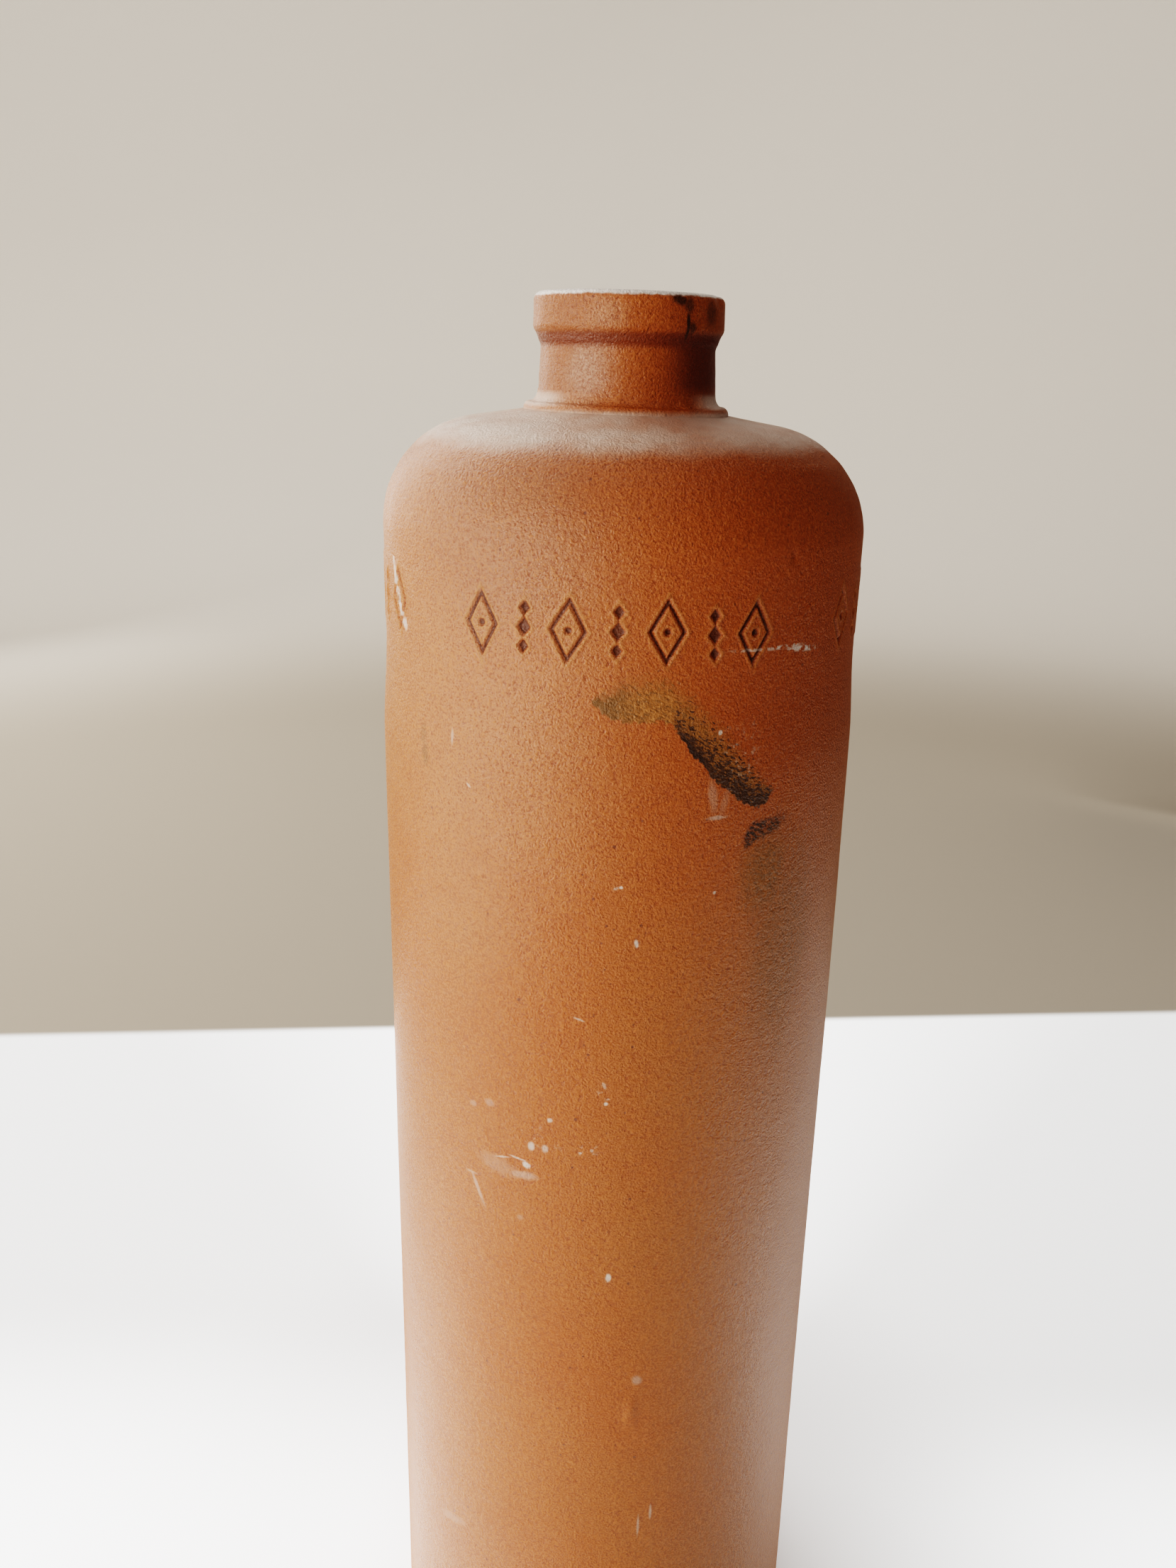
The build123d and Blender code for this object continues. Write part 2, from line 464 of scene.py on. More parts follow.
def neck():
    """The neck tube, with its spigot, its bore and the inner part of the mouth."""
    edge = 1.0
    centre = (NECK_TOP_RADIUS + HOLLOW_RADIUS,
              LIP_SEAT - HOLLOW_RADIUS * math.sin(math.radians(HOLLOW_TURN)))
    hollow = arc(centre, HOLLOW_RADIUS, 180.0, 180.0 - HOLLOW_TURN, 0.15)
    runs = [
        (upright(NECK_ROOT_RADIUS, SEAT_HEIGHT, BEAD_TOP - 1.0, 0.8), 0.0, 1),
        (line((NECK_ROOT_RADIUS, BEAD_TOP - 1.0), hollow[0], 0.3), 1.0, 1),
        (hollow, 1.0, 1),
        (upright(MOUTH_RADIUS, LIP_SEAT, TOP, 2.5), 0.0, 1),
        (line((MOUTH_RADIUS, TOP), (BORE_RADIUS + edge, TOP), 0.5), 0.0, 1),
        (arc((BORE_RADIUS + edge, TOP - edge), edge, 90.0, 180.0, 0.2), 0.0, 1),
        (upright(BORE_RADIUS, TOP - edge, SPIGOT_BOTTOM + edge, 1.0), 0.0, 1),
        (arc((BORE_RADIUS + edge, SPIGOT_BOTTOM + edge), edge, 180.0, 270.0, 0.3), 0.0, 1),
        (upright(SPIGOT_RADIUS, SPIGOT_BOTTOM, SEAT_HEIGHT, 3.0), 0.0, 1),
    ]
    return turned("stoneware_neck", runs, NECK_SEGMENTS, neck_relief)


def neck_bead():
    """The bead round the neck's root: a small convex roll below a hollow flare."""
    tuck, lap = 0.1, 0.3      # how far it goes below its seat, and behind the neck's skin
    back = NECK_ROOT_RADIUS - lap
    fold = (NECK_ROOT_RADIUS + 1.3, SEAT_HEIGHT + 1.25)
    roll = [
        (SEAT_RADIUS - (SEAT_RADIUS - fold[0]) * (1.0 - math.cos(t)),
         SEAT_HEIGHT + (fold[1] - SEAT_HEIGHT) * math.sin(t))
        for t in [math.pi / 2 * k / 8 for k in range(9)]
    ]
    flare = [
        (NECK_ROOT_RADIUS + (fold[0] - NECK_ROOT_RADIUS) * (1.0 - math.sin(t)),
         fold[1] + (BEAD_TOP - fold[1]) * (1.0 - math.cos(t)))
        for t in [math.pi / 2 * k / 10 for k in range(11)]
    ]
    runs = [
        (upright(SEAT_RADIUS, SEAT_HEIGHT - tuck, SEAT_HEIGHT, 0.1), 1.0, 1),
        (roll, 1.0, 1),
        (flare, 1.0, 1),
        (upright(back, BEAD_TOP - tuck, SEAT_HEIGHT - tuck, 1.5), 0.0, 1),
    ]
    return turned("stoneware_neck_bead", runs, NECK_SEGMENTS, bead_relief)


def lip_ring():
    """The lip ring: a bevel, an almost straight side and a rounded, slightly crowned top."""
    edge = 1.3
    bevel_top = (LIP_RADIUS - 0.45, LIP_SEAT + 1.35)
    side_bottom = (LIP_RADIUS - 0.03, LIP_SEAT + 2.3)
    side_top = (LIP_RADIUS - 0.12, TOP - edge)
    corner = [(LIP_RADIUS - 0.23, LIP_SEAT + 1.68), (LIP_RADIUS - 0.09, LIP_SEAT + 2.0)]
    runs = [
        (line((FLARE_RADIUS, LIP_SEAT), bevel_top, 0.2), 1.0, 1),
        (corner, 1.0, 1),
        (line(side_bottom, side_top, 0.4), 1.0, 1),
        (arc((side_top[0] - edge, side_top[1]), edge, 0.0, 90.0, 0.2), 1.0, 1),
        (line((side_top[0] - edge - 0.3, TOP), (MOUTH_RADIUS, TOP), 0.5), 0.0, 1),
        (upright(MOUTH_RADIUS, TOP, LIP_SEAT, 2.5), 0.0, 1),
        (line((MOUTH_RADIUS, LIP_SEAT), (FLARE_RADIUS - 0.2, LIP_SEAT), 2.5), 0.0, 1),
    ]
    return turned("stoneware_lip", runs, NECK_SEGMENTS, lip_relief)


def base_disc():
    """The bottom slab, with wire marks on its underside."""
    rim = 0.4
    runs = [
        ([(0.0, 0.0)], 0.0, 1),
        (line((1.0, 0.0), (DISC_RADIUS - rim, 0.0), 0.6), 1.0, 1),
        (arc((DISC_RADIUS - rim, rim), rim, -90.0, 0.0, 0.2), 0.0, 1),
        (line((DISC_RADIUS, DISC_TOP), (0.0, DISC_TOP), 7.0), 0.0, 1),
    ]
    piece = turned("stoneware_base", runs, DISC_SEGMENTS)
    points = np.zeros(len(piece.data.vertices) * 3)
    piece.data.vertices.foreach_get("co", points)
    points = points.reshape(-1, 3) / MM
    radius = np.hypot(points[:, 0], points[:, 1])
    angle = np.arctan2(points[:, 0], -points[:, 1])
    below = points[:, 2] < rim
    points[:, 2] -= np.where(below, disc_relief(angle, radius), 0.0)
    piece.data.vertices.foreach_set("co", (points * MM).ravel())
    piece.data.update()
    return piece


# Each piece replaces the CAD node that its function is named after
MAKERS = (body_tube, shoulder, neck, neck_bead, lip_ring, base_disc)
PIECES = {maker.__name__: maker() for maker in MAKERS}
for node, piece in PIECES.items():
    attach(piece, "root")
    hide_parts(node)


# -------- materials

class Graph:
    """A material's node tree, with short calls for the nodes used here."""

    def __init__(self, name):
        self.material = bpy.data.materials.new(name)
        self.material.use_nodes = True
        self.tree = self.material.node_tree
        self.tree.nodes.clear()
        self.skin = self.node("BsdfPrincipled")
        self.plug(self.node("OutputMaterial").inputs["Surface"], self.skin.outputs["BSDF"])
        scale = self.node("VectorMath")
        scale.operation = "SCALE"
        scale.inputs["Scale"].default_value = 1.0 / MM
        self.plug(scale.inputs[0], self.node("TexCoord").outputs["Object"])
        self.place = scale.outputs["Vector"]
        split = self.node("SeparateXYZ")
        self.plug(split.inputs[0], self.place)
        self.x, self.y, self.level = split.outputs
        self.wanders = {}
        turn = self.calc("ARCTAN2", self.x, self.calc("MULTIPLY", self.y, -1.0))
        self.angle = self.calc("MULTIPLY", turn, 180.0 / math.pi)

    def node(self, kind):
        """A new shader node of a kind."""
        return self.tree.nodes.new("ShaderNode" + kind)

    def plug(self, socket, value):
        """Link a socket to another one, or set it to a value."""
        if isinstance(value, bpy.types.NodeSocket):
            self.tree.links.new(value, socket)
        elif socket.type == "RGBA":
            socket.default_value = (*value, 1.0)
        else:
            socket.default_value = value

    def calc(self, operation, a, b=None, c=None):
        """A Math node's result."""
        node = self.node("Math")
        node.operation = operation
        for socket, value in zip(node.inputs, (a, b, c)):
            if value is not None:
                self.plug(socket, value)
        return node.outputs[0]

    def mix(self, factor, a, b):
        """Colour a where the factor is 0 and colour b where it is 1."""
        node = self.node("Mix")
        node.data_type = "RGBA"
        self.plug(node.inputs[0], factor)
        self.plug(node.inputs[6], a)
        self.plug(node.inputs[7], b)
        return node.outputs[2]

    def blend(self, factor, a, b):
        """Number a where the factor is 0 and number b where it is 1."""
        node = self.node("Mix")
        node.data_type = "FLOAT"
        self.plug(node.inputs[0], factor)
        self.plug(node.inputs[2], a)
        self.plug(node.inputs[3], b)
        return node.outputs[0]

    def fit(self, value, low, high, to_low=0.0, to_high=1.0):
        """A value brought from one range to another, smoothly and clamped.

        As it stands it is a mask, 0 at low and 1 at high, and low may be the larger number.
        """
        node = self.node("MapRange")
        node.interpolation_type = "SMOOTHSTEP"
        for socket, number in zip(node.inputs, (value, low, high, to_low, to_high)):
            self.plug(socket, number)
        return node.outputs[0]

    def noise(self, size, detail=2.0, roughness=0.5, distortion=0.0, vector=None):
        """Noise of a given grain size in millimetres, centred on 0.5."""
        node = self.node("TexNoise")
        self.plug(node.inputs["Vector"], self.place if vector is None else vector)
        node.inputs["Scale"].default_value = 1.0 / size
        node.inputs["Detail"].default_value = detail
        node.inputs["Roughness"].default_value = roughness
        node.inputs["Distortion"].default_value = distortion
        return node.outputs["Fac"]

    def wander(self, grain):
        """Noise centred on 0 that roughens edges, made once for each grain size."""
        if grain not in self.wanders:
            self.wanders[grain] = self.calc("SUBTRACT", self.noise(grain, 3.0, 0.6), 0.5)
        return self.wanders[grain]

    def swing(self, u, v, turn):
        """Two coordinates on the wall, turned by an angle."""
        c, s = math.cos(math.radians(turn)), math.sin(math.radians(turn))
        along = self.calc("MULTIPLY_ADD", u, c, self.calc("MULTIPLY", v, s))
        aside = self.calc("MULTIPLY_ADD", v, c, self.calc("MULTIPLY", u, -s))
        return along, aside

    def strokes(self, length, width, turn):
        """Noise drawn out into short strokes that lie at an angle on the wall, about 0.5."""
        along, aside = self.swing(self.across(0.0), self.level, turn)
        joined = self.node("CombineXYZ")
        self.plug(joined.inputs[0], self.calc("DIVIDE", along, length / width))
        self.plug(joined.inputs[1], aside)
        return self.noise(width, 2.0, 0.6, vector=joined.outputs[0])

    def cells(self, size):
        """Voronoi cells of a given size: the distance to the nearest point, and its colour."""
        node = self.node("TexVoronoi")
        self.plug(node.inputs["Vector"], self.place)
        node.inputs["Scale"].default_value = 1.0 / size
        return node.outputs["Distance"], node.outputs["Color"]

    def across(self, angle):
        """Distance round the wall from an angle, in millimetres at the collar's radius."""
        turn = self.calc("SUBTRACT", self.angle, angle)
        return self.calc("MULTIPLY", turn, math.radians(COLLAR_RADIUS))

    def length(self, u, v):
        """The length of a flat vector."""
        return self.calc("SQRT", self.calc("MULTIPLY_ADD", u, u, self.calc("MULTIPLY", v, v)))

    def blot(self, row, soft, ragged, grain):
        """A patch on the wall: its strength inside and 0 outside, with a soft, ragged edge.

        The row holds its angle, level, half width, half height, turn and strength.
        """
        angle, level, half_width, half_height, turn, strength = row
        u = self.across(angle)
        v = self.calc("SUBTRACT", self.level, level)
        if turn:
            u, v = self.swing(u, v, turn)
        reach = self.length(self.calc("DIVIDE", u, half_width), self.calc("DIVIDE", v, half_height))
        reach = self.calc("MULTIPLY_ADD", self.wander(grain), ragged * 2.0, reach)
        return self.times(self.fit(reach, 1.0 + soft, 1.0 - soft), strength)

    def curve(self, value, points):
        """A Float Curve through listed points, over a given range on both axes."""
        xs, ys = zip(*points)
        low_x, high_x, low_y, high_y = min(xs), max(xs), min(ys), max(ys)
        node = self.node("FloatCurve")
        knots = node.mapping.curves[0].points
        spots = [((x - low_x) / (high_x - low_x), (y - low_y) / (high_y - low_y)) for x, y in points]
        knots[0].location, knots[-1].location = spots[0], spots[-1]
        for spot in spots[1:-1]:
            knots.new(*spot)
        for knot in knots:
            knot.handle_type = "VECTOR"
        node.mapping.update()
        position = self.calc("DIVIDE", self.calc("SUBTRACT", value, low_x), high_x - low_x)
        self.plug(node.inputs["Value"], position)
        return self.calc("MULTIPLY_ADD", node.outputs["Value"], high_y - low_y, low_y)

    def times(self, *values):
        """The product of several values."""
        result = values[0]
        for value in values[1:]:
            result = self.calc("MULTIPLY", result, value)
        return result

    def most(self, *values):
        """The largest of several values."""
        result = values[0]
        for value in values[1:]:
            result = self.calc("MAXIMUM", result, value)
        return result

    def blots(self, table, soft, ragged, grain):
        """Several patches of one kind, from a table of their rows."""
        return self.most(*[self.blot(row, soft, ragged, grain) for row in table])

    def bump(self, height, depth):
        """Bump the skin by a height field, over a depth in millimetres."""
        node = self.node("Bump")
        node.inputs["Distance"].default_value = depth * MM
        self.plug(node.inputs["Height"], height)
        self.plug(self.skin.inputs["Normal"], node.outputs["Normal"])


# Colours, linear
TAN = (0.44, 0.152, 0.038)
ORANGE = (0.41, 0.117, 0.019)
RUST = (0.35, 0.082, 0.010)
BROWN = (0.22, 0.066, 0.018)
MAROON = (0.15, 0.028, 0.008)
EMBER = (0.21, 0.046, 0.008)
PALE = (0.50, 0.165, 0.035)
UMBER = (0.060, 0.014, 0.007)
KHAKI = (0.31, 0.124, 0.023)
STRAW = (0.45, 0.200, 0.062)
MOSS = (0.17, 0.084, 0.020)
OLIVE = (0.34, 0.142, 0.034)
SOOT = (0.036, 0.013, 0.006)
CHALK = (0.66, 0.58, 0.52)
# pale colour of the painted sheen, glints and reflections
PAINTED_SHEEN = (0.67, 0.55, 0.47)
IRON = (0.12, 0.030, 0.012)
CLAY = (0.42, 0.25, 0.135)
# the rim's pale colour: worn clay and a painted highlight
WORN_AND_LIT_RIM = (0.74, 0.68, 0.63)


def glaze_ground(g):
    """The glaze's own colour, with clouds, flashes and iron specks, and its fine grain, and a
    painted sheen over the left of the front.
    """
    clouds = g.noise(34.0, 3.0, 0.55, 0.4)
    patches = g.noise(7.0, 3.0, 0.6)
    colour = g.mix(g.times(g.fit(clouds, 0.35, 0.65), 0.5), ORANGE, TAN)
    colour = g.mix(g.times(g.fit(patches, 0.48, 0.72), 0.22), colour, RUST)
    # the kiln's flame has reddened the upper right and turned the lower right olive
    flame = g.calc("COSINE", g.times(g.calc("SUBTRACT", g.angle, 62.0), math.pi / 180.0))
    flame = g.fit(g.calc("MULTIPLY_ADD", clouds, 0.5, flame), 0.45, 1.25)
    upper = g.fit(g.level, 150.0, 215.0)
    lower = g.calc("SUBTRACT", 1.0, upper)
    colour = g.mix(g.times(flame, upper, 0.90), colour, RUST)
    colour = g.mix(g.times(flame, lower, 0.70), colour, OLIVE)
    flash = g.blots((
        (-27.0, 236.0, 15.0, 13.0, 0.0, 0.42), (150.0, 190.0, 16.0, 30.0, 20.0, 0.35),
        (-130.0, 70.0, 20.0, 26.0, -25.0, 0.35), (176.0, 60.0, 12.0, 22.0, 10.0, 0.30),
        (-95.0, 170.0, 9.0, 24.0, -8.0, 0.25),
    ), 0.6, 0.4, 7.0)
    colour = g.mix(flash, colour, BROWN)
    # a painted sheen, pale and milky, over the left of the front, high up and near the foot
    painted_sheen_left = g.blots((
        (-36.0, 222.0, 20.0, 44.0, 0.0, 0.15), (-32.0, 14.0, 20.0, 30.0, 0.0, 0.09),
    ), 0.8, 0.25, 7.0)
    colour = g.mix(painted_sheen_left, colour, PAINTED_SHEEN)
    # fine grain: dark hollows and pale crests
    grain = g.noise(0.36, 2.0, 0.65)
    colour = g.mix(g.times(g.fit(grain, 0.52, 0.34), 0.55), colour, RUST)
    colour = g.mix(g.times(g.fit(grain, 0.46, 0.30), 0.60), colour, EMBER)
    colour = g.mix(g.times(g.fit(grain, 0.52, 0.68), 0.70), colour, PALE)
    # iron specks in some of the cells, of different sizes
    distance, tint = g.cells(2.4)
    size = g.fit(tint, 0.40, 1.0, 0.001, 0.15)
    speck = g.fit(distance, size, g.calc("MULTIPLY", size, 0.6))
    return g.mix(g.times(speck, 0.75), colour, IRON), grain


PEEL_SIZE, PEEL_DEPTH = 1.1, 0.22      # of the glaze's orange-peel texture
DULL_ROUGHNESS = 0.68
GLAZE_IOR = 1.54


def glaze_surface(g, grain, dull):
    """Satin gloss and the orange-peel texture of a salt glaze."""
    peel = g.noise(PEEL_SIZE, 2.0, 0.5, 0.3)
    g.bump(g.calc("MULTIPLY_ADD", peel, 0.7, grain), PEEL_DEPTH)
    rough = g.calc("MULTIPLY_ADD", grain, 0.16, 0.19)
    # the glaze is drier on the right, and low down on the left
    left = g.times(g.fit(g.angle, -58.0, -86.0), g.fit(g.level, 150.0, 60.0))
    dry = g.times(g.most(g.fit(g.angle, 40.0, 85.0), left), 0.72)
    g.plug(g.skin.inputs["Roughness"], g.blend(g.most(dull, dry), rough, DULL_ROUGHNESS))
    g.skin.inputs["IOR"].default_value = GLAZE_IOR


def kiln_marks(g, colour):
    """A film of ash on the front: mossy, then straw, then burnt black towards the right.

    Two spots and a soft shadow lie beyond its tail, and a small smear at the left.
    """
    strokes = g.strokes(1.0, 0.42, -28.0)
    wander = g.calc("MULTIPLY_ADD", g.wander(1.6), 1.8, g.times(g.wander(0.8), 1.2))
    # the levels of the film's lower and upper edges, angle by angle
    foot = g.curve(g.angle, [
        (-6.0, 213.2), (-3.5, 211.2), (-1.4, 210.2), (3.0, 209.8), (7.4, 210.1),
        (10.8, 209.7), (12.7, 208.2), (15.4, 205.4), (18.6, 203.0), (20.5, 201.1),
        (25.6, 198.0), (31.0, 195.3), (33.5, 195.6), (37.0, 198.0),
    ])
    head = g.curve(g.angle, [
        (-6.0, 213.3), (-3.0, 215.0), (1.2, 217.4), (8.8, 218.2), (14.9, 216.0),
        (20.5, 212.0), (25.0, 208.0), (29.0, 204.0), (34.5, 199.5), (37.0, 198.1),
    ])
    above = g.calc("ADD", g.calc("SUBTRACT", g.level, foot), wander)
    share = g.calc("DIVIDE", above, g.calc("SUBTRACT", head, foot))
    ends = g.times(g.fit(g.angle, -6.2, -5.2), g.fit(g.angle, 37.0, 35.0))
    # the lower edge is crisp and the upper one frayed
    crisp = g.times(g.fit(above, -0.15, 0.25), ends)
    frayed = g.calc("MULTIPLY_ADD", strokes, 0.7, share)
    film = g.times(crisp, g.fit(frayed, 1.36, 0.75))
    straw = g.times(g.fit(strokes, 0.47, 0.60), g.fit(g.angle, -5.0, 7.0), 0.85)
    mossy = g.times(g.fit(g.angle, 7.0, -2.0), 0.9)
    ash = g.mix(straw, g.mix(mossy, KHAKI, MOSS), STRAW)
    ash = g.mix(g.times(g.fit(strokes, 0.49, 0.38), 0.75), ash, MOSS)
    colour = g.mix(g.times(film, 0.92), colour, ash)

    # how much of the film's height is burnt, from its lower edge up, and the blackest core
    burnt_share = g.curve(g.angle, [
        (-10.0, 0.0), (11.0, 0.05), (13.5, 0.30), (20.0, 0.42), (26.0, 0.56),
        (33.0, 0.62), (40.0, 0.5),
    ])
    charred = g.calc("SUBTRACT", burnt_share, share)
    charred = g.calc("MULTIPLY_ADD", g.calc("SUBTRACT", strokes, 0.5), 3.2, charred)
    charred = g.times(crisp, g.fit(charred, -0.05, 0.22), g.fit(g.angle, 10.5, 12.5))
    middle = g.times(g.fit(g.angle, 11.5, 14.0), g.fit(g.angle, 25.0, 18.0))
    core = g.times(crisp, g.fit(above, 2.6, 0.8), middle)
    colour = g.mix(g.most(g.times(charred, 0.90), g.times(core, 0.98)), colour, SOOT)

    spots = g.blots((
        (31.2, 191.2, 1.3, 2.2, -30.0, 1.0), (34.5, 191.8, 3.6, 1.5, 12.0, 0.9),
    ), 0.3, 0.6, 1.6)
    colour = g.mix(g.times(spots, g.fit(strokes, 0.44, 0.60, 1.0, 0.35)), colour, SOOT)
    shade = g.blots((
        (36.0, 184.0, 4.5, 6.5, 8.0, 0.9), (43.0, 172.0, 6.5, 17.0, 0.0, 0.6),
    ), 0.6, 0.5, 7.0)
    colour = g.mix(g.times(shade, 0.8), colour, g.mix(g.fit(strokes, 0.60, 0.42), KHAKI, MOSS))
    smear = g.blots((
        (-48.2, 203.6, 0.8, 1.6, 0.0, 0.6), (-47.4, 200.2, 0.8, 1.6, 0.0, 0.8),
    ), 0.5, 0.7, 1.6)
    return g.mix(g.times(smear, 0.55), colour, MOSS)


def stamped(g, colour):
    """Darker in the stamps, partly glaze pooled there and partly painted shade; paler on the burr
    beside them, partly thin glaze and partly a painted highlight.
    """
    stamp = g.node("Attribute")
    stamp.attribute_name = "stamp"
    mask = stamp.outputs["Fac"]
    colour = g.mix(g.times(g.fit(mask, 0.1, -0.9), 0.40), colour, STRAW)
    return g.mix(g.times(g.fit(mask, 0.20, 0.90), 0.72), colour, UMBER)


def lime_marks(g):
    """Two masks of lime: white residue (a streak, a dotted scratch, flecks), and milky scuffs."""
    streak = g.blots((
        (-64.3, 230.5, 0.5, 2.2, 12.0, 0.9), (-62.6, 226.6, 0.6, 2.4, 16.0, 1.0),
        (-60.0, 222.8, 0.6, 2.0, 16.0, 0.9), (-57.4, 219.8, 0.7, 1.1, 30.0, 0.8),
    ), 0.4, 0.9, 0.8)
    dots = g.fit(g.wander(0.8), -0.02, 0.06)
    scratch = g.times(g.blots((
        (31.0, 219.9, 5.2, 0.25, -2.0, 0.6), (43.5, 219.2, 3.6, 0.45, -6.0, 1.0),
        (38.0, 219.9, 3.4, 0.3, 0.0, 0.9),
    ), 0.5, 0.3, 0.8), dots)
    flecks = g.blots((
        (5.4, 174.8, 0.30, 0.65, 10.0, 0.9), (1.7, 184.2, 0.30, 0.26, 0.0, 1.0),
        (0.6, 184.0, 0.4, 0.2, 30.0, 0.5), (22.4, 182.5, 0.26, 0.26, 0.0, 0.8),
        (22.0, 208.0, 0.3, 0.35, 0.0, 0.9), (1.7, 112.1, 0.45, 0.75, 0.0, 1.0),
        (-18.4, 132.6, 0.75, 0.5, -30.0, 1.0), (-17.2, 136.5, 0.55, 0.75, 0.0, 0.8),
        (-13.9, 136.5, 0.5, 0.7, 0.0, 0.6), (-12.8, 142.1, 0.45, 0.4, 0.0, 0.8),
        (-0.1, 146.2, 0.3, 0.3, 0.0, 0.9), (-0.6, 149.6, 0.25, 0.6, 20.0, 0.5),
        (-6.6, 161.3, 0.9, 0.16, -20.0, 0.6), (-20.6, 133.5, 1.5, 0.18, -8.0, 0.7),
        (-24.6, 132.9, 1.2, 0.16, 14.0, 0.7), (-3.0, 137.2, 0.25, 0.3, 0.0, 0.6),
        (-5.6, 136.6, 0.3, 0.2, 0.0, 0.6), (-38.3, 204.6, 0.25, 1.2, 0.0, 0.45),
        (14.5, 58.6, 0.22, 1.7, 0.0, 0.6), (11.4, 55.6, 0.2, 2.4, 0.0, 0.5),
        (-33.4, 197.5, 0.5, 0.18, -40.0, 0.6),
    ), 0.4, 0.45, 0.8)
    scuffs = g.blots((
        (-19.0, 130.4, 2.1, 0.75, 0.0, 0.55), (-31.5, 124.8, 0.32, 2.9, 24.0, 0.75),
        (-33.4, 127.5, 1.0, 0.22, 0.0, 0.6), (-26.0, 131.0, 3.4, 1.6, -10.0, 0.25),
        (-28.1, 142.6, 0.9, 0.6, 0.0, 0.4), (-32.8, 141.3, 0.6, 0.5, 0.0, 0.4),
        (-19.8, 121.9, 0.6, 0.5, 0.0, 0.35), (22.1, 194.8, 1.5, 0.35, 0.0, 0.7),
        (20.8, 198.2, 0.7, 2.4, 10.0, 0.32), (23.6, 197.0, 0.6, 1.9, -12.0, 0.22),
        (9.5, 90.0, 0.7, 0.9, 0.0, 0.5), (-42.0, 44.0, 3.0, 0.9, 20.0, 0.3),
        (150.0, 96.0, 5.0, 0.7, 35.0, 0.4), (-120.0, 150.0, 0.8, 4.5, 20.0, 0.3),
        (98.0, 52.0, 3.5, 0.5, -15.0, 0.4),
    ), 0.5, 0.6, 1.6)
    crumbs = g.times(g.blots((
        (-4.2, 136.6, 1.9, 2.4, 0.0, 1.0), (0.0, 148.4, 1.5, 2.6, 0.0, 1.0),
        (-16.0, 139.0, 5.0, 3.0, 0.0, 0.5), (27.0, 205.0, 4.0, 4.5, 0.0, 0.7),
        (170.0, 130.0, 6.0, 5.0, 0.0, 0.8),
    ), 0.5, 0.6, 1.6), g.fit(g.wander(0.8), 0.08, 0.15), 0.7)
    return g.most(streak, scratch, flecks), g.most(scuffs, crumbs)


def body_glaze():
    """The body's glaze, with its kiln marks, stamps, residues and scuffs."""
    g = Graph("salt_glaze_body")
    colour, grain = glaze_ground(g)
    colour = kiln_marks(g, colour)
    colour = stamped(g, colour)
    residue, scuffs = lime_marks(g)
    colour = g.mix(g.times(scuffs, 0.55), colour, CHALK)
    colour = g.mix(g.times(residue, 0.85), colour, CHALK)
    # bare clay round the foot, up to an uneven line
    foot = g.fit(g.calc("MULTIPLY_ADD", g.noise(5.0), 5.0, g.level), 5.0, 2.0)
    colour = g.mix(g.times(foot, 0.6), colour, CLAY)
    g.plug(g.skin.inputs["Base Color"], colour)
    glaze_surface(g, grain, g.most(g.times(scuffs, 0.5), residue, foot))
    return g.material


